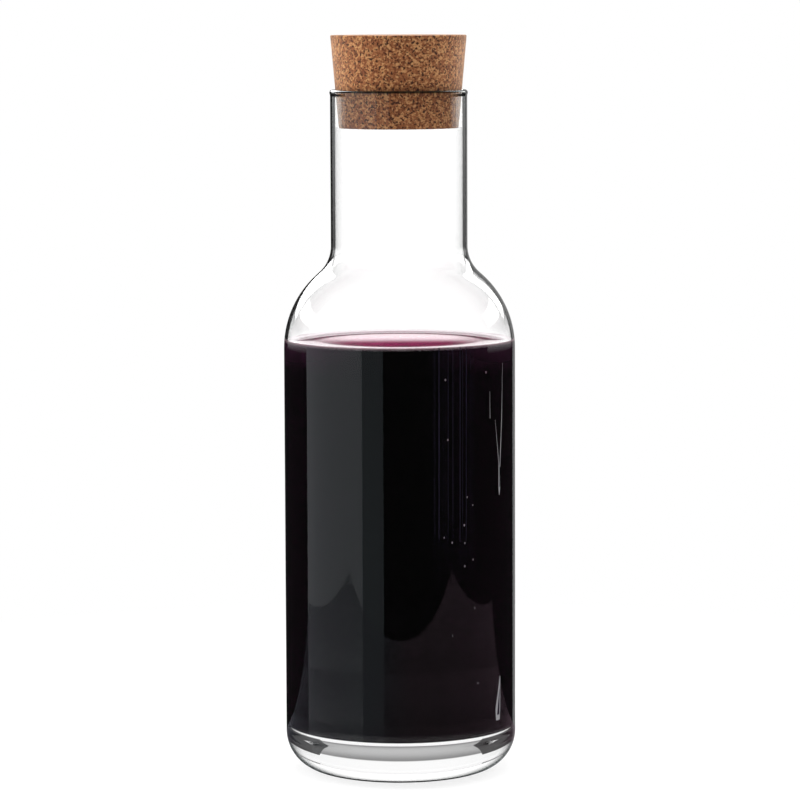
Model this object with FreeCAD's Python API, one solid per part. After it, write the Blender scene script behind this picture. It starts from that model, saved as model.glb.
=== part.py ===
"""A one-litre glass carafe of dark red wine, shut with a tapered cork stopper.

Millimetres. The origin is on the axis, in the plane that the carafe stands on, and +Z is up.
Every piece is a solid of revolution: half of its section is drawn edge by edge in the XZ plane,
from the axis outwards, and turned once about Z.
"""
import FreeCAD, Part
import math
import os

V = FreeCAD.Vector

# Glass, outside
BODY_RADIUS = 44.0
HEEL_RADIUS = 15.0            # rounding from the foot up into the wall
SHOULDER_START = 162.2        # height at which the straight wall ends
SHOULDER_RADIUS = 37.3        # convex arc of the shoulder
SHOULDER_STRAIGHT = 1.8       # straight slope between the shoulder's arc and the throat's
THROAT_RADIUS = 13.5          # concave arc from the shoulder into the neck
NECK_RADIUS = 25.95
RIM_HEIGHT = 260.2
LIP_RADIUS = 1.1              # fire-polished bead along the rim
LIP_BLEND = 3.0               # hollow rounding between the bead and the neck

# Glass, walls and foot
BASE_THICKNESS = 16.8         # from the standing plane up to the flat floor inside
FLOOR_ROUNDING = 5.0          # inside corner between the floor and the wall
WALL_LOW = 2.2                # body wall just above the floor
WALL_HIGH = 1.2               # body wall at the start of the shoulder
WALL_NECK = 1.7
PUNT_RADIUS = 22.0            # shallow hollow under the foot, inside the standing ring
PUNT_DEPTH = 1.2
PUNT_EDGE = 8.0               # rounding from that hollow into the standing ring

# Wine
FILL_HEIGHT = 165.0           # level above the standing plane

# Cork stopper
CORK_HEIGHT = 35.0
CORK_ABOVE_RIM = 20.6
CORK_TAPER = 0.089            # radius lost for each millimetre of depth
CORK_EDGE = 0.4               # softened top and bottom edges
CORK_SEAT_GAP = 0.08          # between the cork and the bead that carries it

# The bead is centred on the neck's wall
LIP_CENTRE_RADIUS = NECK_RADIUS - WALL_NECK / 2
LIP_CENTRE_HEIGHT = RIM_HEIGHT - LIP_RADIUS


class Outline:
    """Part of a section, drawn like a pen that never lifts. Headings and turns are in degrees."""

    def __init__(self, radius, height, heading):
        self.radius = radius
        self.height = height
        self.heading = heading            # 0 points away from the axis, 90 up
        self.edges = []

    def point(self):
        return V(self.radius, 0, self.height)

    def line_to(self, radius, height):
        start = self.point()
        self.radius = radius
        self.height = height
        self.edges.append(Part.LineSegment(start, self.point()).toShape())

    def ahead(self, length):
        angle = math.radians(self.heading)
        self.line_to(self.radius + length * math.cos(angle), self.height + length * math.sin(angle))

    def turn(self, bend_radius, degrees):
        """Draw an arc tangent to the heading: a positive angle turns left, a negative one right."""
        side = math.copysign(1, degrees)
        start = self.point()
        centre = start + in_section(bend_radius, self.heading + 90 * side)
        middle = centre + in_section(bend_radius, self.heading - 90 * side + degrees / 2)
        end = centre + in_section(bend_radius, self.heading - 90 * side + degrees)
        self.edges.append(Part.Arc(start, middle, end).toShape())
        self.radius = end.x
        self.height = end.z
        self.heading += degrees


def in_section(length, heading):
    """A vector of this length along a heading in the section's plane."""
    angle = math.radians(heading)
    return V(length * math.cos(angle), 0, length * math.sin(angle))


def revolved(edges):
    """The solid whose half section these edges enclose."""
    wire = Part.Wire(Part.__sortEdges__(edges))
    return Part.Face(wire).revolve(V(0, 0, 0), V(0, 0, 1), 360)


def shoulder_turn(drop, convex, straight, concave):
    """Angle of an arc, a straight slope and the opposite arc that take a wall in by this drop."""
    reach = convex + concave
    return math.degrees(math.acos((reach - drop) / math.hypot(reach, straight))
                        - math.atan2(straight, reach))


def shoulder_into_neck(outline, body_radius, neck_radius, convex, concave):
    """Carry a body wall through the shoulder and the throat until it runs straight up."""
    angle = shoulder_turn(body_radius - neck_radius, convex, SHOULDER_STRAIGHT, concave)
    outline.turn(convex, 90 + angle - outline.heading)
    outline.ahead(SHOULDER_STRAIGHT)
    outline.turn(concave, -angle)


def lip_turn():
    """Angle by which the neck's surfaces part to pass smoothly into the wider bead."""
    return math.degrees(math.acos((WALL_NECK + 2 * LIP_BLEND) / (2 * LIP_RADIUS + 2 * LIP_BLEND)))


def lip_start_height():
    """Height at which the neck begins to swell into the bead."""
    return LIP_CENTRE_HEIGHT - (LIP_RADIUS + LIP_BLEND) * math.sin(math.radians(lip_turn()))


def outer_side():
    """Outside of the glass, from the middle of the foot up, over the rim and into the mouth."""
    outline = Outline(0, PUNT_DEPTH, 0)
    punt_turn = 2 * math.degrees(math.atan2(PUNT_DEPTH, PUNT_RADIUS))
    both_arcs = PUNT_RADIUS / math.sin(math.radians(punt_turn))
    outline.turn(both_arcs - PUNT_EDGE, -punt_turn)
    outline.turn(PUNT_EDGE, punt_turn)
    outline.line_to(BODY_RADIUS - HEEL_RADIUS, 0)
    outline.turn(HEEL_RADIUS, 90)
    outline.line_to(BODY_RADIUS, SHOULDER_START)
    shoulder_into_neck(outline, BODY_RADIUS, NECK_RADIUS, SHOULDER_RADIUS, THROAT_RADIUS)
    outline.line_to(NECK_RADIUS, lip_start_height())
    outline.turn(LIP_BLEND, -lip_turn())
    outline.turn(LIP_RADIUS, 180 + 2 * lip_turn())
    outline.turn(LIP_BLEND, -lip_turn())
    return outline


def inner_side():
    """Inside of the glass, from the middle of the floor up to where the lip begins.

    The wall leans so that it thins evenly from the floor to the shoulder, whose inner arc has the
    same centre as the outer one.
    """
    corner = V(BODY_RADIUS - WALL_LOW - FLOOR_ROUNDING, 0, BASE_THICKNESS + FLOOR_ROUNDING)
    shoulder = V(BODY_RADIUS - SHOULDER_RADIUS, 0, SHOULDER_START)
    shoulder_radius = SHOULDER_RADIUS - WALL_HIGH
    apart = shoulder - corner
    normal = math.degrees(math.atan2(apart.z, apart.x)
                          - math.acos((FLOOR_ROUNDING - shoulder_radius) / apart.Length))
    outline = Outline(0, BASE_THICKNESS, 0)
    outline.line_to(corner.x, BASE_THICKNESS)
    outline.turn(FLOOR_ROUNDING, 90 + normal)
    wall_end = shoulder + in_section(shoulder_radius, normal)
    outline.line_to(wall_end.x, wall_end.z)
    shoulder_into_neck(outline, BODY_RADIUS - WALL_HIGH, NECK_RADIUS - WALL_NECK,
                       shoulder_radius, THROAT_RADIUS + WALL_NECK)
    outline.line_to(NECK_RADIUS - WALL_NECK, lip_start_height())
    return outline


def glass_carafe():
    axis_edge = Part.LineSegment(V(0, 0, PUNT_DEPTH), V(0, 0, BASE_THICKNESS)).toShape()
    return revolved(outer_side().edges + inner_side().edges + [axis_edge])


def wine():
    """What fills the glass, face to face with its inside, up to a level surface."""
    cavity = inner_side()
    cavity.line_to(0, cavity.height)
    cavity.line_to(0, BASE_THICKNESS)
    depth = FILL_HEIGHT - BASE_THICKNESS
    below_the_level = Part.makeCylinder(2 * BODY_RADIUS, depth, V(0, 0, BASE_THICKNESS))
    return revolved(cavity.edges).common(below_the_level).Solids[0]


def cork_stopper():
    """A cone that stops where it meets the bead, one seat gap away."""
    clear_of_bead = (LIP_RADIUS + CORK_SEAT_GAP) / math.cos(math.atan(CORK_TAPER))
    radius_at_bead = LIP_CENTRE_RADIUS - clear_of_bead
    top = RIM_HEIGHT + CORK_ABOVE_RIM
    bottom = top - CORK_HEIGHT
    bottom_radius = radius_at_bead + CORK_TAPER * (bottom - LIP_CENTRE_HEIGHT)
    top_radius = radius_at_bead + CORK_TAPER * (top - LIP_CENTRE_HEIGHT)
    cone = Part.makeCone(bottom_radius, top_radius, CORK_HEIGHT, V(0, 0, bottom))
    rims = [edge for edge in cone.Edges if isinstance(edge.Curve, Part.Circle)]
    return cone.makeFillet(CORK_EDGE, rims)


os.makedirs("parts", exist_ok=True)
for piece in (glass_carafe, wine, cork_stopper):
    piece().exportStep(f"parts/{piece.__name__}.step")
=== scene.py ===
"""Looks of a glass carafe of dark red wine, shut with a tapered cork stopper.

Metres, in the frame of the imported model: the carafe stands on z = 0, its axis is Z and its front
is towards -Y. The glass and the wine are turned from outlines that follow the same sizes as the
solids they stand for. The cork is turned too, and Geometry Nodes carve its granules and pits.
"""
import math
import random

import bpy
import numpy as np
from mathutils import Matrix, Vector


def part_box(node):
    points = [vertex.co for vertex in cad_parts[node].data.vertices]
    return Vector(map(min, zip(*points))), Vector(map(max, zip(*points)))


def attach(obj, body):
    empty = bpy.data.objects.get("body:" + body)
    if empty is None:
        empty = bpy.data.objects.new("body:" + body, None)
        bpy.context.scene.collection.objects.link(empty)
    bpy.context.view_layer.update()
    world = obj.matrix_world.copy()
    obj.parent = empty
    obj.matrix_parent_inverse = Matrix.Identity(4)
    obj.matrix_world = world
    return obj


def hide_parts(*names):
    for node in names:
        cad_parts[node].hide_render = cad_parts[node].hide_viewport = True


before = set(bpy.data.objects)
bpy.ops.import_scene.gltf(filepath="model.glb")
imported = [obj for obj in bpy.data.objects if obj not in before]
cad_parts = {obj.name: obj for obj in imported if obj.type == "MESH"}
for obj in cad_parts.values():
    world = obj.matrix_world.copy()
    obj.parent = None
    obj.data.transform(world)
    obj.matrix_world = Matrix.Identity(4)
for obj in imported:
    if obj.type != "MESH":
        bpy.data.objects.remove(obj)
bpy.context.scene.view_settings.view_transform = "Standard"
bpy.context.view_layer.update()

MM = 0.001

# Glass, outside
BODY_RADIUS = 44.0 * MM
HEEL_RADIUS = 15.0 * MM       # rounding from the foot into the body
SHOULDER_START = 162.2 * MM
SHOULDER_RADIUS = 37.3 * MM
SHOULDER_STRAIGHT = 1.8 * MM  # straight slope between the shoulder and the throat
THROAT_RADIUS = 13.5 * MM     # hollow curve that leads into the neck
NECK_RADIUS = 25.95 * MM
LIP_RADIUS = 1.1 * MM
LIP_BLEND = 3.0 * MM          # curves that lead from the neck's two faces into the lip

# Glass, inside and foot
FLOOR_ROUNDING = 5.0 * MM
WALL_LOW = 2.2 * MM
WALL_HIGH = 1.2 * MM
WALL_NECK = 1.7 * MM
PUNT_RADIUS = 22.0 * MM
PUNT_DEPTH = 1.2 * MM
PUNT_EDGE = 8.0 * MM

# Heights that the solids give
RIM_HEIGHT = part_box("glass_carafe")[1].z
FLOOR_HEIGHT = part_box("wine")[0].z
FILL_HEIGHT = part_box("wine")[1].z

# Wine against the glass
INTO_WALL = 0.12 * MM         # how far the wine reaches into the wall, so that no air shows
OFF_FLOOR = 0.02 * MM         # hair of clearance that lets the thick foot mirror at low angles
CAPILLARY_LENGTH = 2.6 * MM   # sets the curve in which the surface climbs the wall
WALL_SLOPE = 17               # steepness in degrees with which the surface meets the wall
LEVEL_SLOPE = 0.1             # steepness in degrees below which the surface counts as level

# Fineness of the meshes
GLASS_SEGMENTS = 340          # round the axis, for the glass and for the wine against it
CORK_SEGMENTS = 360
ROW_GUARD = 0.15 * MM
ARC_STEP_DEG = 4.0
SHARP_FROM_DEG = 50
WINE_CORNER_POINTS = 24
WINE_SHOULDER_POINTS = 6
WINE_CLIMB_POINTS = 30
WINE_LEVEL_POINTS = 8


class Pen:
    """Draws half of a section as points of (radius, height). Headings and turns are in degrees."""

    def __init__(self, radius, height, heading):
        self.points = [(radius, height)]
        self.heading = heading            # 0 points away from the axis, 90 up

    @property
    def radius(self):
        return self.points[-1][0]

    @property
    def height(self):
        return self.points[-1][1]

    def line_to(self, radius, height, steps=1):
        """Straight line. Longer ones get a close row at each end, which keeps their shading flat."""
        start_radius, start_height = self.points[-1]
        length = math.hypot(radius - start_radius, height - start_height)
        shares = np.linspace(0, 1, steps + 1)[1:]
        if steps > 1 and length > 5 * ROW_GUARD:
            guard = ROW_GUARD / length
            shares = np.concatenate([[guard], shares[:-1], [1 - guard, 1]])
        for share in shares:
            self.points.append((start_radius + (radius - start_radius) * share,
                                start_height + (height - start_height) * share))

    def ahead(self, length):
        """Straight line along the heading."""
        angle = math.radians(self.heading)
        self.line_to(self.radius + length * math.cos(angle), self.height + length * math.sin(angle))

    def turn(self, bend_radius, degrees, step_deg=ARC_STEP_DEG):
        """Arc tangent to the heading: a positive angle turns left, a negative one right."""
        side = math.copysign(1, degrees)
        to_centre = math.radians(self.heading + 90 * side)
        centre_radius = self.radius + bend_radius * math.cos(to_centre)
        centre_height = self.height + bend_radius * math.sin(to_centre)
        steps = max(3, round(abs(degrees) / step_deg))
        for share in np.linspace(0, 1, steps + 1)[1:]:
            angle = math.radians(self.heading - 90 * side + share * degrees)
            self.points.append((centre_radius + bend_radius * math.cos(angle),
                                centre_height + bend_radius * math.sin(angle)))
        self.heading += degrees


def shoulder_turn(drop, convex, straight, concave):
    """Angle of an arc, a straight slope and the opposite arc that take a wall in by this drop."""
    reach = convex + concave
    return math.degrees(math.acos((reach - drop) / math.hypot(reach, straight))
                        - math.atan2(straight, reach))


def shoulder_into_neck(pen, body_radius, neck_radius, convex, concave):
    """Carry a body wall through the shoulder and the throat until it runs straight up."""
    angle = shoulder_turn(body_radius - neck_radius, convex, SHOULDER_STRAIGHT, concave)
    pen.turn(convex, 90 + angle - pen.heading, step_deg=1.5)
    pen.ahead(SHOULDER_STRAIGHT)
    pen.turn(concave, -angle, step_deg=2)
    pen.heading = 90


def inner_side():
    """Sizes of the inside of the glass below its shoulder.

    Radius and height of the centre of the rounding at the floor's edge, lean of the wall in
    degrees, and radius and height of the end of the wall, where the shoulder begins.
    """
    corner_radius = BODY_RADIUS - WALL_LOW - FLOOR_ROUNDING
    corner_height = FLOOR_HEIGHT + FLOOR_ROUNDING
    shoulder_radius = SHOULDER_RADIUS - WALL_HIGH
    across = BODY_RADIUS - SHOULDER_RADIUS - corner_radius
    up = SHOULDER_START - corner_height
    lean = math.atan2(up, across) - math.acos((FLOOR_ROUNDING - shoulder_radius)
                                              / math.hypot(across, up))
    wall_radius = BODY_RADIUS - SHOULDER_RADIUS + shoulder_radius * math.cos(lean)
    wall_height = SHOULDER_START + shoulder_radius * math.sin(lean)
    return corner_radius, corner_height, math.degrees(lean), wall_radius, wall_height


def lip_turn():
    """Angle by which the neck's surfaces part to pass smoothly into the wider lip."""
    return math.degrees(math.acos((WALL_NECK + 2 * LIP_BLEND) / (2 * LIP_RADIUS + 2 * LIP_BLEND)))


def glass_outline():
    """Closed section of the glass, from the middle of the foot round to the middle of the floor."""
    pen = Pen(0, PUNT_DEPTH, 0)
    punt_turn = 2 * math.degrees(math.atan2(PUNT_DEPTH, PUNT_RADIUS))
    both_arcs = PUNT_RADIUS / math.sin(math.radians(punt_turn))
    pen.turn(both_arcs - PUNT_EDGE, -punt_turn, step_deg=0.6)
    pen.turn(PUNT_EDGE, punt_turn, step_deg=1)
    pen.line_to(BODY_RADIUS - HEEL_RADIUS, 0, steps=4)
    pen.turn(HEEL_RADIUS, 90, step_deg=2)
    pen.line_to(BODY_RADIUS, SHOULDER_START, steps=12)
    shoulder_into_neck(pen, BODY_RADIUS, NECK_RADIUS, SHOULDER_RADIUS, THROAT_RADIUS)
    lip_start = RIM_HEIGHT - LIP_RADIUS - (LIP_RADIUS + LIP_BLEND) * math.sin(math.radians(lip_turn()))
    pen.line_to(NECK_RADIUS, lip_start, steps=6)
    pen.turn(LIP_BLEND, -lip_turn())
    pen.turn(LIP_RADIUS, 180 + 2 * lip_turn(), step_deg=10)
    pen.turn(LIP_BLEND, -lip_turn())

    corner_radius, _, lean, wall_radius, wall_height = inner_side()
    inside = Pen(0, FLOOR_HEIGHT, 0)
    inside.line_to(corner_radius, FLOOR_HEIGHT, steps=6)
    inside.turn(FLOOR_ROUNDING, 90 + lean)
    inside.line_to(wall_radius, wall_height, steps=12)
    shoulder_into_neck(inside, BODY_RADIUS - WALL_HIGH, NECK_RADIUS - WALL_NECK,
                       SHOULDER_RADIUS - WALL_HIGH, THROAT_RADIUS + WALL_NECK)
    inside.line_to(pen.radius, pen.height, steps=6)
    return pen.points + inside.points[-2::-1]


def meniscus(slope):
    """(distance from the wall, height above the level) where the climbing surface has this slope.

    This is the exact curve of a liquid that wets an upright wall.
    """
    def reach(angle):
        return -math.log(math.tan(angle / 4)) - 2 * math.cos(angle / 2)
    return (CAPILLARY_LENGTH * (reach(slope) - reach(math.radians(WALL_SLOPE))),
            2 * CAPILLARY_LENGTH * math.sin(slope / 2))


def wine_outline():
    """Closed section of the wine, from the middle of its underside to the middle of its surface."""
    corner_radius, corner_height, lean, _, wall_height = inner_side()
    points = [(0.0, FLOOR_HEIGHT + OFF_FLOOR)]
    for share in np.linspace(0, 1, WINE_CORNER_POINTS):
        angle = math.radians(-90 + share * (90 + lean))
        points.append((corner_radius + (FLOOR_ROUNDING + INTO_WALL) * math.cos(angle),
                       corner_height + (FLOOR_ROUNDING - OFF_FLOOR) * math.sin(angle)))
    shoulder_radius = SHOULDER_RADIUS - WALL_HIGH + INTO_WALL
    contact_height = FILL_HEIGHT + meniscus(math.radians(WALL_SLOPE))[1]
    for height in np.linspace(wall_height, contact_height, WINE_SHOULDER_POINTS):
        points.append((BODY_RADIUS - SHOULDER_RADIUS
                       + math.sqrt(shoulder_radius ** 2 - (height - SHOULDER_START) ** 2), height))
    contact_radius = points[-1][0] - INTO_WALL
    for slope in np.radians(np.geomspace(WALL_SLOPE, LEVEL_SLOPE, WINE_CLIMB_POINTS)):
        distance, rise = meniscus(slope)
        points.append((contact_radius - distance, FILL_HEIGHT + rise))
    for radius in np.linspace(points[-1][0], 0, WINE_LEVEL_POINTS)[1:]:
        points.append((radius, FILL_HEIGHT))
    return points


def lathe(name, outline, segments):
    """Turn an outline that starts and ends on the axis into a closed, smooth mesh."""
    ring = np.linspace(0, 2 * math.pi, segments, endpoint=False)
    body = np.array(outline[1:-1])
    vertices = np.empty((len(body), segments, 3))
    vertices[..., 0] = body[:, :1] * np.sin(ring)
    vertices[..., 1] = -body[:, :1] * np.cos(ring)
    vertices[..., 2] = body[:, 1:]
    here = np.arange(segments)
    after = (here + 1) % segments
    faces = []
    for row in range(len(body) - 1):
        low = row * segments
        high = low + segments
        faces.extend(np.stack([low + here, low + after, high + after, high + here], axis=1).tolist())
    first_pole = len(body) * segments
    last_pole = first_pole + 1
    last_ring = first_pole - segments
    faces.extend([first_pole, b, a] for a, b in zip(here.tolist(), after.tolist()))
    faces.extend([last_pole, last_ring + a, last_ring + b]
                 for a, b in zip(here.tolist(), after.tolist()))
    points = vertices.reshape(-1, 3).tolist() + [[0, 0, outline[0][1]], [0, 0, outline[-1][1]]]
    mesh = bpy.data.meshes.new(name)
    mesh.from_pydata(points, [], faces)
    mesh.polygons.foreach_set("use_smooth", np.ones(len(faces), bool))
    mesh.set_sharp_from_angle(angle=math.radians(SHARP_FROM_DEG))
    mesh.update()
    obj = bpy.data.objects.new(name, mesh)
    bpy.context.scene.collection.objects.link(obj)
    return obj


# Nodes, as the materials, the world and the cork's relief use them
WHITE = (1, 1, 1)
BLACK = (0, 0, 0)


def node(tree, kind, inputs=None, **settings):
    """A node of this kind with its settings made and its named or numbered inputs filled.

    An input takes a socket or a value. The value of a colour is three numbers.
    """
    made = tree.nodes.new(kind)
    for key, value in settings.items():
        setattr(made, key, value)
    for key, value in (inputs or {}).items():
        socket = made.inputs[key]
        if isinstance(value, bpy.types.NodeSocket):
            tree.links.new(value, socket)
        elif socket.type == "RGBA":
            socket.default_value = (*value, 1)
        else:
            socket.default_value = value
    return made


def math_node(tree, operation, *values):
    """Result for one or two values. Any further ones are taken in turn with the result so far."""
    result = values[0]
    for value in values[1:] or [0.0]:
        result = node(tree, "ShaderNodeMath", {0: result, 1: value}, operation=operation).outputs[0]
    return result


def rest_of(tree, share):
    """1 less the share."""
    return math_node(tree, "SUBTRACT", 1.0, share)


def fade(tree, value, none_at, full_at, **settings):
    """Share that runs from 0 to 1 between these two values, the second of which may be the lower."""
    return node(tree, "ShaderNodeMapRange", {0: value, 1: none_at, 2: full_at}, **settings).outputs[0]


def within(tree, value, low, high, soft):
    """1 between these two values, falling to 0 over the soft width outside them."""
    return math_node(tree, "MULTIPLY", fade(tree, value, low - soft, low),
                     fade(tree, value, high + soft, high))


def mix(tree, share, first, second):
    """The first value where the share is 0 and the second where it is 1."""
    return node(tree, "ShaderNodeMix", {0: share, 2: first, 3: second}).outputs[0]


def mix_colour(tree, share, first, second, blend="MIX"):
    """The first colour where the share is 0, and its blend with the second where it is 1."""
    return node(tree, "ShaderNodeMix", {0: share, 6: first, 7: second},
                data_type="RGBA", blend_type=blend).outputs[2]


def xyz(tree, vector):
    """The three parts of a vector."""
    return node(tree, "ShaderNodeSeparateXYZ", {0: vector}).outputs[:]


def length_of(tree, vector):
    return node(tree, "ShaderNodeVectorMath", {0: vector}, operation="LENGTH").outputs["Value"]


def object_place(tree):
    """Place on a piece. Every piece's object sits at the origin, so this is its place in the frame."""
    return node(tree, "ShaderNodeTexCoord").outputs["Object"]


def colour_curve(tree, value, stops):
    """Colour that runs straight from stop to stop. Stops are (value, colour), with values rising."""
    low, high = stops[0][0], stops[-1][0]
    ramp = node(tree, "ShaderNodeValToRGB", {0: fade(tree, value, low, high)})
    elements = ramp.color_ramp.elements
    elements.remove(elements[-1])
    elements[0].color = (*stops[0][1], 1)
    for at, colour in stops[1:]:
        elements.new((at - low) / (high - low)).color = (*colour, 1)
    return ramp.outputs["Color"]


def level_curve(tree, value, stops):
    """Number that runs straight from stop to stop. Stops are (value, number), with values rising."""
    top = max(level for _, level in stops)
    grey = colour_curve(tree, value, [(at, (level / top,) * 3) for at, level in stops])
    return math_node(tree, "MULTIPLY", grey, top)


def new_material(name):
    material = bpy.data.materials.new(name)
    material.use_nodes = True
    material.node_tree.nodes.clear()
    return material, material.node_tree


def mirrored_ray(tree):
    """1 for rays that left a smooth surface as a reflection, and 0 for all others."""
    path = node(tree, "ShaderNodeLightPath")
    return math_node(tree, "MULTIPLY", path.outputs["Is Reflection Ray"],
                     rest_of(tree, path.outputs["Is Diffuse Ray"]))


def gathering_ray(tree):
    """1 for rays that gather light for a matt surface, also behind glass, and 0 for all others."""
    path = node(tree, "ShaderNodeLightPath")
    return math_node(tree, "GREATER_THAN", path.outputs["Diffuse Depth"], 0.5)


# Glass
LIP_SHADE = (0.02, 0.04, 0.045)            # painted shade: the lip darkened, for the dark crevice and room that it shows
LIP_FADE = 0.3 * LIP_RADIUS
FOOT_EDGE_SHADE = (0.02, 0.025, 0.025)     # painted shade: the foot's edge darkened where it is seen at a grazing angle, for the dark room it shows
FOOT_FADE = 0.2 * HEEL_RADIUS
GRAZING = (0.62, 0.80)                    # Facing of a surface at which that sets in and is full
MIRRORED_SHADE = (0.001, 0.001, 0.001)     # painted shade: light that was mirrored inside a wall, darkened to the room at its sides
MIRRORED_FADE = 2 * MM


def mirrored_inside(tree, height, backfacing):
    """1 where light leaves a wall from inside after it was mirrored there, and 0 elsewhere.

    The thick foot is left out, because it throws the light of the table back up.
    """
    wall = fade(tree, height, FLOOR_HEIGHT - MIRRORED_FADE, FLOOR_HEIGHT)
    return math_node(tree, "MULTIPLY", mirrored_ray(tree), backfacing, wall)


def glass_material():
    """Clear glass with painted shade: the lip and the foot's edge are darkened, and light mirrored inside
    comes out as dark as the room at its sides.
    """
    material, tree = new_material("clear glass")
    height = xyz(tree, object_place(tree))[2]
    backfacing = node(tree, "ShaderNodeNewGeometry").outputs["Backfacing"]
    facing = node(tree, "ShaderNodeLayerWeight").outputs["Facing"]
    lip_middle = RIM_HEIGHT - LIP_RADIUS
    lip = fade(tree, height, lip_middle, lip_middle + LIP_FADE)
    foot = fade(tree, height, HEEL_RADIUS, HEEL_RADIUS - FOOT_FADE)
    shaded_foot_edge = math_node(tree, "MULTIPLY", foot, rest_of(tree, backfacing), fade(tree, facing, *GRAZING))
    mirrored = mirrored_inside(tree, height, backfacing)
    # The lip, the foot's edge and light mirrored inside a wall get painted shade in the glass's colour
    tint = WHITE
    for share, colour in ((lip, LIP_SHADE), (shaded_foot_edge, FOOT_EDGE_SHADE), (mirrored, MIRRORED_SHADE)):
        tint = mix_colour(tree, share, tint, colour)
    shader = node(tree, "ShaderNodeBsdfPrincipled", {
        "Base Color": tint, "Roughness": 0.0, "IOR": 1.5, "Transmission Weight": 1.0})
    node(tree, "ShaderNodeOutputMaterial", {"Surface": shader.outputs[0]})
    return material


# Wine: colour by height above the level where it lies against the glass, and by distance from the axis on
# its surface, where it is deep in the middle and thin at the wall. Near black deep down is the wine's own
# colour; the paler side near the level and the pink and pale surface are painted light that comes through
# the thin wine
WINE_SIDE_LIT_AT_LEVEL = [(-12 * MM, (0.0004, 0.0003, 0.0004)), (-0.6 * MM, (0.001, 0.0006, 0.0008)),
             (-0.2 * MM, (0.018, 0.011, 0.014)), (0.16 * MM, (0.09, 0.06, 0.066)),
             (0.53 * MM, (0.28, 0.19, 0.21)), (0.9 * MM, (0.62, 0.44, 0.49))]
WINE_TOP_LIGHT = [(0.0, (0.52, 0.012, 0.16)), (15 * MM, (0.60, 0.014, 0.19)), (27 * MM, (0.46, 0.010, 0.13)),
            (34 * MM, (0.28, 0.020, 0.09)), (38 * MM, (0.45, 0.16, 0.26)), (40.5 * MM, (0.92, 0.84, 0.88))]
LIT_WINE_EDGE = (0.97, 0.90, 0.93)            # painted light: the thin edge that climbs the wall, pale with the light behind it
EDGE_LIGHT = (0.46, 0.41, 0.43)           # painted light, as a glow: light that comes through that edge from behind it
EDGE_SLOPES = (8, 3)                      # degrees at which the surface is all edge and no edge
UPWARD = 0.5                              # Z of the normal above which a face belongs to the surface

# Painted light: a purple glow added at the sides, strongest just under the level
GLOW_COLOUR = (0.030, 0.008, 0.022)
GLOW_FROM = 0.3 * BODY_RADIUS             # distance to the side at which it sets in
GLOW_TOP = 0.6 * MM
GLOW_DEPTH = 12 * MM
GLOW_DEEPER = 0.12                        # share of it that stays deeper down

# Faint streaks down the wall. Degrees count round from the front, to its right
STREAK_COLOUR = (0.010, 0.008, 0.017)
STREAKS_PER_RADIAN = 45
STREAK_NOISE = (0.5, 0.7)                 # noise at which a streak sets in and is full
STREAKS_FROM_DEG = 20
STREAKS_TO_DEG = 36
STREAKS_FADE = 0.1                        # radians
STREAK_LENGTH = 60 * MM

# Small bubbles on the wall, at random places
BUBBLES = 14
BUBBLE_SEED = 11
BUBBLE_COLOUR = (0.16, 0.14, 0.16)
BUBBLE_DEG = (22, 48)
BUBBLE_HEIGHT_MM = (26, 156)
BUBBLE_ACROSS_MM = (0.35, 0.6)

# Foam along the level
FOAM_COLOUR = (0.75, 0.70, 0.72)
FOAM_SPACING = 1.2 * MM
FOAM_RADIUS = 0.4 * MM
FOAM_SHARE = 0.3
FOAM_DEPTH = 0.3 * MM

# Painted highlights on runs of drops on the wall, with dark cores: the top and the bottom of each as
# degrees round from the front, height and width in millimetres
RUN_HIGHLIGHT = (0.36, 0.36, 0.38)
RUN_FADE = 0.2 * MM
LIT_RUNS = [((55.5, 137, 0.1), (59.2, 119, 0.35)), ((62.5, 158, 0.1), (61.8, 138, 0.4)),
            ((61.8, 138, 0.4), (60, 119, 0.5)), ((59, 120, 0.4), (59.5, 111, 1.2)),
            ((59.5, 111, 1.2), (59.5, 108.5, 0.4)), ((51, 148, 0.1), (51.2, 138, 0.22)),
            ((60.5, 39, 0.4), (58.5, 27, 3.4)), ((58.5, 27, 3.4), (58.5, 22.5, 2.6))]
DARK_CORES = [((59.2, 117, 0.1), (59.6, 111.5, 0.5)), ((60.0, 34, 0.3), (58.8, 24.5, 1.6))]


def streak_mask(tree, around, height):
    """Thin upright streaks below the level, in one part of the wall."""
    waves = node(tree, "ShaderNodeTexNoise", {"W": around, "Scale": STREAKS_PER_RADIAN, "Detail": 1.0},
                 noise_dimensions="1D")
    there = within(tree, around, math.radians(STREAKS_FROM_DEG), math.radians(STREAKS_TO_DEG), STREAKS_FADE)
    high = within(tree, height, FILL_HEIGHT - STREAK_LENGTH, FILL_HEIGHT, STREAK_LENGTH / 2)
    return math_node(tree, "MULTIPLY", fade(tree, waves.outputs["Fac"], *STREAK_NOISE), there, high)


def foam_mask(tree, height):
    """Round dots along the level: one in some of the cells of an even spacing."""
    cells = node(tree, "ShaderNodeTexVoronoi", {"Scale": 1 / FOAM_SPACING})
    chosen = math_node(tree, "GREATER_THAN", xyz(tree, cells.outputs["Color"])[0], 1 - FOAM_SHARE)
    dot = math_node(tree, "LESS_THAN", cells.outputs["Distance"], FOAM_RADIUS / FOAM_SPACING)
    at_level = math_node(tree, "GREATER_THAN", height, FILL_HEIGHT - FOAM_DEPTH)
    return math_node(tree, "MULTIPLY", chosen, dot, at_level)


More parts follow.
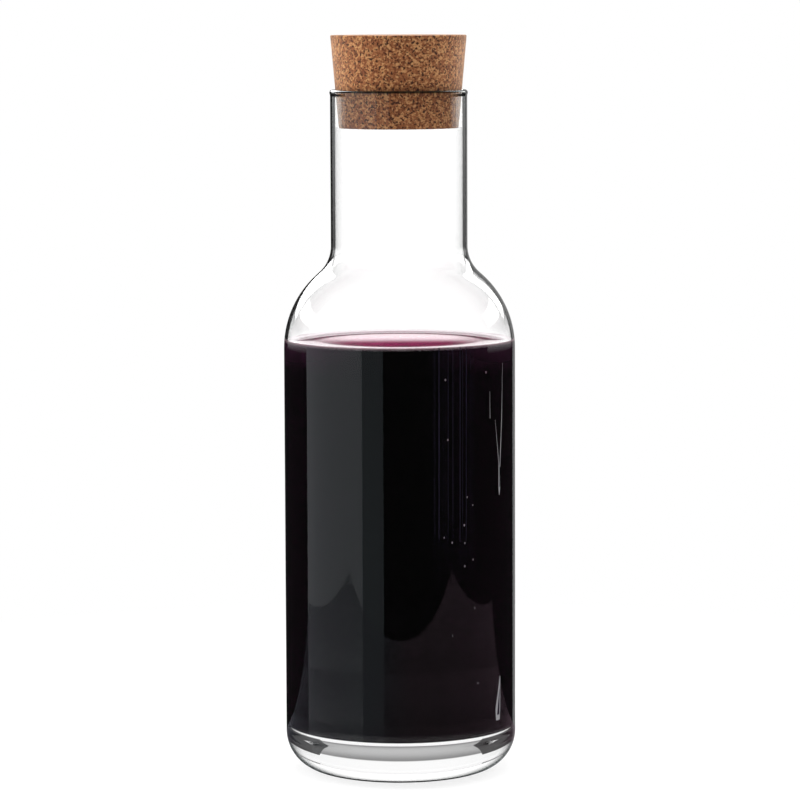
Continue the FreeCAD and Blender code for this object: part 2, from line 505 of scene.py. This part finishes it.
def run_mask(tree, around, height, run):
    """A run of drops down the wall, between its two ends. Its width and place change evenly."""
    (top_deg, top_mm, top_width), (bottom_deg, bottom_mm, bottom_width) = run
    bottom, top = bottom_mm * MM, top_mm * MM
    down_the_run = {0: height, 1: bottom, 2: top}
    centre = node(tree, "ShaderNodeMapRange", {
        **down_the_run, 3: math.radians(bottom_deg), 4: math.radians(top_deg)}).outputs[0]
    half_width = node(tree, "ShaderNodeMapRange", {
        **down_the_run, 3: bottom_width * MM / BODY_RADIUS / 2,
        4: top_width * MM / BODY_RADIUS / 2}).outputs[0]
    aside = math_node(tree, "ABSOLUTE", math_node(tree, "SUBTRACT", around, centre))
    return math_node(tree, "MULTIPLY", math_node(tree, "LESS_THAN", aside, half_width),
                     within(tree, height, bottom, top, RUN_FADE))


def bubble_runs():
    """The bubbles as very short runs, as high as they are wide."""
    chance = random.Random(BUBBLE_SEED)
    runs = []
    for _ in range(BUBBLES):
        degrees = chance.uniform(*BUBBLE_DEG)
        at_mm = chance.uniform(*BUBBLE_HEIGHT_MM)
        across = chance.uniform(*BUBBLE_ACROSS_MM)
        runs.append(((degrees, at_mm + across / 2, across), (degrees, at_mm - across / 2, across)))
    return runs


def wine_marks(tree, place):
    """Masks and colours of the streaks, the foam, the bubbles, and the painted highlights and dark cores of
    the runs of drops.
    """
    x, y, height = xyz(tree, place)
    around = math_node(tree, "ARCTAN2", x, math_node(tree, "MULTIPLY", y, -1.0))
    marks = [(streak_mask(tree, around, height), STREAK_COLOUR), (foam_mask(tree, height), FOAM_COLOUR)]
    for runs, colour in ((bubble_runs(), BUBBLE_COLOUR), (LIT_RUNS, RUN_HIGHLIGHT),
                         (DARK_CORES, STREAK_COLOUR)):
        marks.extend((run_mask(tree, around, height, run), colour) for run in runs)
    return marks


def wine_side_colour(tree, place):
    """Colour of the wine where it lies against the glass, with painted light: paler near the level, a
    purple glow at the sides and highlights on runs of drops.
    """
    x, _, height = xyz(tree, place)
    side = colour_curve(tree, math_node(tree, "SUBTRACT", height, FILL_HEIGHT), WINE_SIDE_LIT_AT_LEVEL)
    aside = fade(tree, math_node(tree, "ABSOLUTE", x), GLOW_FROM, BODY_RADIUS)
    high = fade(tree, height, FILL_HEIGHT - GLOW_DEPTH, FILL_HEIGHT - GLOW_TOP)
    share = math_node(tree, "MULTIPLY", aside, math_node(tree, "MAXIMUM", high, GLOW_DEEPER))
    side = mix_colour(tree, 1.0, side, mix_colour(tree, share, BLACK, GLOW_COLOUR), blend="ADD")
    for mask, colour in wine_marks(tree, place):
        side = mix_colour(tree, mask, side, colour)
    return side


def wine_material():
    """Dark liquid with painted light: a paler, glowing rim where its surface climbs the wall, and a lit
    pink surface.
    """
    material, tree = new_material("dark red wine")
    place = object_place(tree)
    side = wine_side_colour(tree, place)
    flat_place = node(tree, "ShaderNodeVectorMath", {0: place, 1: (1, 1, 0)}, operation="MULTIPLY")
    top = colour_curve(tree, length_of(tree, flat_place.outputs[0]), WINE_TOP_LIGHT)
    up = xyz(tree, node(tree, "ShaderNodeNewGeometry").outputs["Normal"])[2]
    upward = math_node(tree, "GREATER_THAN", up, UPWARD)
    level = fade(tree, up, *(math.cos(math.radians(slope)) for slope in EDGE_SLOPES))
    colour = mix_colour(tree, upward, side, mix_colour(tree, level, LIT_WINE_EDGE, top))
    climbing = math_node(tree, "MULTIPLY", upward, rest_of(tree, level))
    shader = node(tree, "ShaderNodeBsdfPrincipled", {
        "Base Color": colour, "Roughness": 0.0, "IOR": 1.34,
        "Emission Color": mix_colour(tree, climbing, BLACK, EDGE_LIGHT), "Emission Strength": 1.0})
    node(tree, "ShaderNodeOutputMaterial", {"Surface": shader.outputs[0]})
    return material


# Cork
CORK_LOWEST, CORK_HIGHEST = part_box("cork_stopper")
CORK_BOTTOM = CORK_LOWEST.z
CORK_TOP = CORK_HIGHEST.z
CORK_TOP_RADIUS = CORK_HIGHEST.x
CORK_TAPER = 0.089            # change of the radius for each unit of height
CORK_EDGE = 0.4 * MM
CORK_EDGE_STEP_DEG = 30
CORK_STEP = 0.42 * MM         # spacing of the mesh

# Granules that are pressed together, with seams between them and pits where one has come out
GRANULE = 0.9 * MM
SEAM_WIDTH = 0.12             # as a share of a granule
SEAM_DEPTH = 0.07 * MM
PITS_PER_GRANULE = 0.8        # places for pits along a line, of which only some hold one
PIT_SHARE = 0.2
PIT_FLOOR = 0.12              # radius of the flat floor of a pit, as a share of their spacing
PIT_RADIUS = 0.42
PIT_DEPTH = 0.3 * MM

# Colours of the granules, by a mix of one tone for each granule and a fine grain
CORK_TONES = [(0.36, (0.12, 0.034, 0.012)), (0.46, (0.20, 0.064, 0.021)), (0.58, (0.26, 0.094, 0.032)),
              (0.68, (0.43, 0.215, 0.085))]
TONE_SHARE = 0.35
GRAIN_SHARE = 0.75
GRAIN = 0.5 * MM
STIRRING = 0.8 * MM           # spacing of the waves that bend the granules out of their even shape
STIRRED_BY = 0.6 * GRANULE
CORK_FLECK = (0.03, 0.008, 0.004)
FLECK = 0.8 * MM              # spacing of the dark flecks of bark
FLECK_NOISE = (0.57, 0.61)    # noise at which a fleck sets in and is full
GRAIN_DEPTH = 0.15 * MM


def cork_outline():
    """Section of the stopper from the middle of its underside to the middle of its top."""
    bottom_radius = CORK_TOP_RADIUS - CORK_TAPER * (CORK_TOP - CORK_BOTTOM)
    lean = 90 - math.degrees(math.atan(CORK_TAPER))
    corner = math.radians(lean / 2)
    pen = Pen(0, CORK_BOTTOM, 0)
    flat = bottom_radius - CORK_EDGE * math.tan(corner)
    pen.line_to(flat, CORK_BOTTOM, steps=round(flat / CORK_STEP))
    pen.turn(CORK_EDGE, lean, step_deg=CORK_EDGE_STEP_DEG)
    upper_trim = CORK_EDGE / math.tan(corner)
    side_end = CORK_TOP - upper_trim * math.sin(math.radians(lean))
    side_radius = CORK_TOP_RADIUS - upper_trim * math.cos(math.radians(lean))
    pen.line_to(side_radius, side_end, steps=round((side_end - pen.height) / CORK_STEP))
    pen.turn(CORK_EDGE, 180 - lean, step_deg=CORK_EDGE_STEP_DEG)
    pen.line_to(0, CORK_TOP, steps=round(pen.radius / CORK_STEP))
    return pen.points


def relief_tree():
    """Geometry nodes that sink the seams between granules and scattered pits into a surface."""
    tree = bpy.data.node_groups.new("cork relief", "GeometryNodeTree")
    tree.interface.new_socket("Geometry", in_out="INPUT", socket_type="NodeSocketGeometry")
    for name in ("Granule Size", "Seam Depth", "Pit Depth"):
        tree.interface.new_socket(name, in_out="INPUT", socket_type="NodeSocketFloat")
    tree.interface.new_socket("Finish", in_out="INPUT", socket_type="NodeSocketMaterial")
    tree.interface.new_socket("Geometry", in_out="OUTPUT", socket_type="NodeSocketGeometry")
    given = node(tree, "NodeGroupInput").outputs
    scale = math_node(tree, "DIVIDE", 1.0, given["Granule Size"])
    seams = node(tree, "ShaderNodeTexVoronoi", {"Scale": scale}, feature="DISTANCE_TO_EDGE")
    seam = fade(tree, seams.outputs["Distance"], SEAM_WIDTH, 0.0)
    pit_scale = math_node(tree, "MULTIPLY", scale, PITS_PER_GRANULE)
    pits = node(tree, "ShaderNodeTexVoronoi", {"Scale": pit_scale})
    chosen = math_node(tree, "GREATER_THAN", xyz(tree, pits.outputs["Color"])[0], 1 - PIT_SHARE)
    bowl = fade(tree, pits.outputs["Distance"], PIT_RADIUS, PIT_FLOOR)
    depth = math_node(tree, "ADD", math_node(tree, "MULTIPLY", seam, given["Seam Depth"]),
                      math_node(tree, "MULTIPLY", chosen, bowl, given["Pit Depth"]))
    normal = node(tree, "GeometryNodeInputNormal").outputs[0]
    offset = node(tree, "ShaderNodeVectorMath", {0: normal, 3: math_node(tree, "MULTIPLY", depth, -1.0)},
                  operation="SCALE")
    moved = node(tree, "GeometryNodeSetPosition", {
        "Geometry": given["Geometry"], "Offset": offset.outputs[0]})
    real = node(tree, "GeometryNodeRealizeInstances", {"Geometry": moved.outputs[0]})
    finished = node(tree, "GeometryNodeSetMaterial", {
        "Geometry": real.outputs[0], "Material": given["Finish"]})
    node(tree, "NodeGroupOutput", {0: finished.outputs[0]})
    return tree


def with_modifier_applied(obj, tree, values):
    """The object with its mesh as this node tree makes it, whose inputs take the named values."""
    modifier = obj.modifiers.new(tree.name, "NODES")
    modifier.node_group = tree
    for item in tree.interface.items_tree:
        if item.in_out == "INPUT" and item.name in values:
            modifier[item.identifier] = values[item.name]
    depsgraph = bpy.context.evaluated_depsgraph_get()
    mesh = bpy.data.meshes.new_from_object(obj.evaluated_get(depsgraph))
    obj.modifiers.remove(modifier)
    obj.data = mesh
    return obj


def cork_body(material):
    blank = lathe("cork", cork_outline(), CORK_SEGMENTS)
    return with_modifier_applied(blank, relief_tree(), {
        "Granule Size": GRANULE, "Seam Depth": SEAM_DEPTH, "Pit Depth": PIT_DEPTH, "Finish": material})


def cork_material():
    """Pale and dark granules pressed together, with small irregular flecks of dark bark."""
    material, tree = new_material("agglomerated cork")
    place = object_place(tree)
    waves = node(tree, "ShaderNodeTexNoise", {"Vector": place, "Scale": 1 / STIRRING, "Detail": 2.0})
    shift = node(tree, "ShaderNodeVectorMath", {0: waves.outputs["Color"], 3: STIRRED_BY},
                 operation="SCALE")
    stirred = node(tree, "ShaderNodeVectorMath", {0: place, 1: shift.outputs[0]}, operation="ADD")
    granules = node(tree, "ShaderNodeTexVoronoi", {"Vector": stirred.outputs[0], "Scale": 1 / GRANULE})
    tone = node(tree, "ShaderNodeSeparateColor", {0: granules.outputs["Color"]}).outputs[0]
    grain = node(tree, "ShaderNodeTexNoise", {
        "Vector": place, "Scale": 1 / GRAIN, "Detail": 2.0, "Roughness": 0.7}).outputs[0]
    mixed = math_node(tree, "ADD", math_node(tree, "MULTIPLY", tone, TONE_SHARE),
                      math_node(tree, "MULTIPLY", grain, GRAIN_SHARE))
    bark = node(tree, "ShaderNodeTexNoise", {
        "Vector": place, "Scale": 1 / FLECK, "Detail": 1.0, "Roughness": 0.6}).outputs[0]
    colour = mix_colour(tree, fade(tree, bark, *FLECK_NOISE), colour_curve(tree, mixed, CORK_TONES),
                        CORK_FLECK)
    bump = node(tree, "ShaderNodeBump", {"Strength": 0.5, "Distance": GRAIN_DEPTH, "Height": grain})
    shader = node(tree, "ShaderNodeBsdfPrincipled", {
        "Base Color": colour, "Roughness": 0.8, "Specular IOR Level": 0.2, "Sheen Weight": 0.25,
        "Sheen Roughness": 0.5, "Sheen Tint": (1, 0.9, 0.75), "Normal": bump.outputs[0]})
    node(tree, "ShaderNodeOutputMaterial", {"Surface": shader.outputs[0]})
    return material


def put_on(obj, material, replaced):
    """Give a piece its finish and its place in the model."""
    obj.data.materials.clear()
    obj.data.materials.append(material)
    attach(obj, "root")
    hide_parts(replaced)


# Camera
LOOK_AT = Vector((0.0001, 0, 0.1421))
CAMERA_DISTANCE = 1.4388
CAMERA_ELEVATION = math.radians(6)
CAMERA_ROLL = math.radians(-0.21)
LENS_MM = 169.65
SENSOR_MM = 36.0


def add_camera():
    data = bpy.data.cameras.new("camera")
    data.lens = LENS_MM
    data.sensor_width = SENSOR_MM
    camera = bpy.data.objects.new("camera", data)
    bpy.context.scene.collection.objects.link(camera)
    back = Vector((0, -math.cos(CAMERA_ELEVATION), math.sin(CAMERA_ELEVATION)))
    camera.location = LOOK_AT + back * CAMERA_DISTANCE
    camera.rotation_mode = "QUATERNION"
    aim = (-back).to_track_quat("-Z", "Y")
    camera.rotation_quaternion = aim @ Matrix.Rotation(CAMERA_ROLL, 3, "Z").to_quaternion()
    bpy.context.scene.camera = camera


# Room. A rise is the Z of a direction whose length is 1, and 0 degrees is straight behind the carafe
AMBIENT = 0.62
INSIDE_GLASS = 1.9            # plain light behind glass, which the lamps don't reach
LIGHTER_LEFT = 0.3
SEEN_THROUGH_GLASS = 1.25     # makes up for what the four surfaces of the neck throw back
THROUGH_GLASS = [(-0.5, SEEN_THROUGH_GLASS), (0.02, SEEN_THROUGH_GLASS), (0.04, 1.68), (0.09, 1.68),
                 (0.098, 1.05), (0.222, 1.05), (0.228, 0.26), (0.3, 0.5), (0.4, 0.66), (0.5, 0.6),
                 (0.6, 0.08), (0.9, 0.05), (1.0, 0.05)]
DARK_BAND_FROM = (0.0872, 0.0903)         # rises at which the band sets in and is full
DARK_BAND_TO = (0.0980, 0.0945)           # rises at which it has ended and is still full
DARK_BAND_LEVEL = 0.05
PANELS_ABOVE = 0.2                        # rise above which only two panels are white
PANEL_HALF_DEG = 35
HIGH_BETWEEN_PANELS = 0.09
STUDIO = 0.01                             # dark room in reflections
BESIDE_DEG = (30, 82)                     # low light at both sides
BESIDE_RISE = (0.0, 0.04)
BESIDE_FADE = 0.08
BEHIND_HALF_DEG = 40                      # strip light high behind, for the shine on the lip
BEHIND_RISE = (0.15, 0.95)
BEHIND_FADE = 0.02
BEHIND_LEVEL = 5.0


def room_through_glass(tree, rise, around):
    """What glass shows of the room: white low down, and two white panels, along Y, higher up.

    The level surface of the wine mirrors what lies just above the horizon. A dark band there lets
    its near half show its own colour.
    """
    level = level_curve(tree, rise, THROUGH_GLASS)
    band = math_node(tree, "MULTIPLY", fade(tree, rise, *DARK_BAND_FROM, interpolation_type="SMOOTHSTEP"),
                     fade(tree, rise, *DARK_BAND_TO))
    level = mix(tree, band, level, DARK_BAND_LEVEL)
    high = math_node(tree, "GREATER_THAN", rise, PANELS_ABOVE)
    from_panel = math_node(tree, "PINGPONG", around, math.pi / 2)
    off_panel = math_node(tree, "GREATER_THAN", from_panel, math.radians(PANEL_HALF_DEG))
    return mix(tree, math_node(tree, "MULTIPLY", high, off_panel), level, HIGH_BETWEEN_PANELS)


def room_in_mirror(tree, rise, around):
    """What mirrored rays see of the room: darkness, low light at both sides and a strip behind."""
    nearest, farthest = (math.radians(degrees) for degrees in BESIDE_DEG)
    beside = math_node(tree, "MULTIPLY", math_node(tree, "GREATER_THAN", around, nearest),
                       math_node(tree, "LESS_THAN", around, farthest),
                       within(tree, rise, *BESIDE_RISE, BESIDE_FADE))
    in_strip = math_node(tree, "LESS_THAN", around, math.radians(BEHIND_HALF_DEG))
    behind = math_node(tree, "MULTIPLY", in_strip, within(tree, rise, *BEHIND_RISE, BEHIND_FADE),
                       BEHIND_LEVEL)
    return math_node(tree, "ADD", STUDIO, beside, behind)


def plain_light(tree, through, x):
    """Light that matt surfaces gather. Behind glass it is stronger, and stronger still from the left."""
    inside = math_node(tree, "MULTIPLY", INSIDE_GLASS,
                       rest_of(tree, math_node(tree, "MULTIPLY", x, LIGHTER_LEFT)))
    return mix(tree, through, AMBIENT, inside)


def add_world():
    """White where it is seen, plain light for shading, and a dark studio in reflections."""
    world = bpy.data.worlds.new("white room")
    bpy.context.scene.world = world
    world.use_nodes = True
    tree = world.node_tree
    tree.nodes.clear()
    path = node(tree, "ShaderNodeLightPath")
    through = path.outputs["Is Transmission Ray"]
    x, y, rise = xyz(tree, node(tree, "ShaderNodeTexCoord").outputs["Generated"])
    around = math_node(tree, "ABSOLUTE", math_node(tree, "ARCTAN2", x, y))
    seen = math_node(tree, "ADD",
                     math_node(tree, "MULTIPLY", through, room_through_glass(tree, rise, around)),
                     math_node(tree, "MULTIPLY", mirrored_ray(tree), room_in_mirror(tree, rise, around)))
    gathering = gathering_ray(tree)
    level = math_node(tree, "ADD", path.outputs["Is Camera Ray"],
                      math_node(tree, "MULTIPLY", rest_of(tree, gathering), seen),
                      math_node(tree, "MULTIPLY", gathering, plain_light(tree, through, x)))
    background = node(tree, "ShaderNodeBackground", {"Color": WHITE, "Strength": level})
    node(tree, "ShaderNodeOutputWorld", {"Surface": background.outputs[0]})


# Floor: shares of its white that take shadows, and that glass shows, by distance from the axis. Under the
# foot, glass shows it dark, as a painted shadow
FLOOR_HALF = 12.0
FLOOR_BOUNCE = 0.8
SHADOW = [(0.0, 0.2), (0.4, 0.0)]
PAINTED_SHADOW_UNDER_FOOT = [(0.0, 0.08), (58 * MM, 0.08), (64 * MM, 1.0), (100 * MM, 1.0)]

# Table: levels by distance from the axis, with a painted shadow that is dark out to the foot's edge, and
# tints by X, from the left to the right
TABLE_LEVELS_WITH_SHADOW = [(0.0, 0.0), (44 * MM, 0.0), (75 * MM, 0.22), (200 * MM, 0.27)]
TABLE_TINTS = [(-0.1, (0.8, 0.85, 1.0)), (0.05, (1.0, 0.70, 0.86))]
TABLE_NEAR_LEFT = (-0.45, -0.375)
TABLE_FAR_RIGHT = (0.455, 0.08)


def stage_mesh(name, points, faces, material):
    mesh = bpy.data.meshes.new(name)
    mesh.from_pydata(points, [], faces)
    mesh.materials.append(material)
    obj = bpy.data.objects.new(name, mesh)
    bpy.context.scene.collection.objects.link(obj)


def add_sheet(name, near_left, far_right, material):
    """A flat sheet on the ground between two opposite corners."""
    (left, near), (right, far) = near_left, far_right
    corners = [(left, near, 0), (right, near, 0), (right, far, 0), (left, far, 0)]
    stage_mesh(name, corners, [(0, 1, 2, 3)], material)


def glow_in_mirrors(tree, colour, strength):
    """Surface that glows for mirrored rays and is clear to all others."""
    glow = node(tree, "ShaderNodeEmission", {"Color": colour, "Strength": strength})
    clear = node(tree, "ShaderNodeBsdfTransparent")
    surface = node(tree, "ShaderNodeMixShader", {
        0: mirrored_ray(tree), 1: clear.outputs[0], 2: glow.outputs[0]})
    node(tree, "ShaderNodeOutputMaterial", {"Surface": surface.outputs[0]})


def add_floor():
    """White ground that fades into the backdrop, with a faint shadow near the carafe.

    Glass shows it with a painted shadow, dark under the foot, and mirrored rays pass through it.
    """
    material, tree = new_material("pale floor")
    path = node(tree, "ShaderNodeLightPath")
    camera = path.outputs["Is Camera Ray"]
    away = length_of(tree, object_place(tree))
    shadow = level_curve(tree, away, SHADOW)
    gathering = gathering_ray(tree)
    seen_level = math_node(tree, "MULTIPLY", camera, rest_of(tree, shadow))
    # Through glass, a painted shadow darkens the floor under the foot
    through_level = math_node(tree, "MULTIPLY", path.outputs["Is Transmission Ray"],
                              mix(tree, gathering, SEEN_THROUGH_GLASS, INSIDE_GLASS),
                              math_node(tree, "MAXIMUM", level_curve(tree, away, PAINTED_SHADOW_UNDER_FOOT), gathering))
    glow = node(tree, "ShaderNodeEmission", {"Strength": math_node(tree, "ADD", seen_level, through_level)})
    bounce = math_node(tree, "MULTIPLY", path.outputs["Is Diffuse Ray"], FLOOR_BOUNCE)
    paint_level = math_node(tree, "MAXIMUM", math_node(tree, "MULTIPLY", camera, shadow), bounce)
    grey = node(tree, "ShaderNodeCombineColor", {0: paint_level, 1: paint_level, 2: paint_level})
    paint = node(tree, "ShaderNodeBsdfDiffuse", {"Color": grey.outputs[0]})
    both = node(tree, "ShaderNodeAddShader", {0: glow.outputs[0], 1: paint.outputs[0]})
    clear = node(tree, "ShaderNodeBsdfTransparent")
    surface = node(tree, "ShaderNodeMixShader", {
        0: mirrored_ray(tree), 1: both.outputs[0], 2: clear.outputs[0]})
    node(tree, "ShaderNodeOutputMaterial", {"Surface": surface.outputs[0]})
    add_sheet("floor", (-FLOOR_HALF, -FLOOR_HALF), (FLOOR_HALF, FLOOR_HALF), material)


def add_table():
    """The near part of the table, as it shows in reflections, with a painted shadow under the carafe."""
    material, tree = new_material("table in reflections")
    place = object_place(tree)
    glow_in_mirrors(tree, colour_curve(tree, xyz(tree, place)[0], TABLE_TINTS),
                    level_curve(tree, length_of(tree, place), TABLE_LEVELS_WITH_SHADOW))
    add_sheet("table_in_reflections", TABLE_NEAR_LEFT, TABLE_FAR_RIGHT, material)


# Cards that only mirrored rays see. Degrees count round from the front, to its right, and a part
# of a strobe has a name, its two ends in degrees and its strength
CARD_STEPS = 24
ROOM_HIGH = (-0.6, 1.2)
STROBE_HEIGHTS = (0.237, 0.30)
STROBE_DISTANCE = 0.3
STROBE_COLOUR = (1, 0.99, 0.95)
STROBE_PARTS = [("edge", 98, 108, 1.5), ("core", 108, 130, 3.0)]


def add_card(name, from_deg, to_deg, heights, distance, colour, strength):
    """A glowing card bent round the axis at this distance, between two angles and two heights."""
    material, tree = new_material(name.replace("_", " "))
    glow_in_mirrors(tree, colour, strength)
    points = []
    for angle in np.radians(np.linspace(from_deg, to_deg, CARD_STEPS)):
        for height in heights:
            points.append((distance * math.sin(angle), -distance * math.cos(angle), height))
    faces = [(2 * i, 2 * i + 2, 2 * i + 3, 2 * i + 1) for i in range(CARD_STEPS - 1)]
    stage_mesh(name, points, faces, material)


def add_strobes():
    """A lamp head behind the carafe at each side, with a bright core."""
    for side_name, side in (("left", -1), ("right", 1)):
        for part, near_deg, far_deg, strength in STROBE_PARTS:
            add_card(f"strobe_{side_name}_{part}", side * near_deg, side * far_deg, STROBE_HEIGHTS,
                     STROBE_DISTANCE, STROBE_COLOUR, strength)


LAMP_DISTANCE = 1.2


def add_lamp(name, azimuth, elevation, size, power):
    """A soft lamp that only lights. Its azimuth counts as the cards' degrees do, and power is in watts."""
    data = bpy.data.lights.new(name, "AREA")
    data.shape = "RECTANGLE"
    data.size, data.size_y = size
    data.energy = power
    lamp = bpy.data.objects.new(name, data)
    around, up = math.radians(azimuth), math.radians(elevation)
    back = Vector((math.sin(around) * math.cos(up), -math.cos(around) * math.cos(up), math.sin(up)))
    lamp.location = LOOK_AT + back * LAMP_DISTANCE
    lamp.rotation_euler = (-back).to_track_quat("-Z", "Y").to_euler()
    lamp.visible_camera = False
    lamp.visible_glossy = False
    lamp.visible_transmission = False
    bpy.context.scene.collection.objects.link(lamp)


add_camera()
add_world()
add_floor()
add_table()
add_card("softbox_left", -104, -37, ROOM_HIGH, distance=1.0, colour=(0.88, 0.95, 1), strength=0.78)
add_card("softbox_left_inner", -37, -16, ROOM_HIGH, distance=1.0, colour=(0.8, 0.93, 1), strength=0.3)
add_strobes()
add_card("backdrop_card", 152, 180, ROOM_HIGH, distance=1.2, colour=WHITE, strength=0.35)
add_lamp("lamp left", azimuth=-97, elevation=25, size=(0.8, 1.2), power=18)
add_lamp("lamp right", azimuth=125, elevation=25, size=(0.8, 1.2), power=15)
add_lamp("lamp top", azimuth=0, elevation=88, size=(1.0, 1.0), power=13)

glass = lathe("clear_glass", glass_outline(), GLASS_SEGMENTS)
wine = lathe("red_wine", wine_outline(), GLASS_SEGMENTS)
cork_finish = cork_material()
cork = cork_body(cork_finish)
put_on(glass, glass_material(), "glass_carafe")
put_on(wine, wine_material(), "wine")
put_on(cork, cork_finish, "cork_stopper")
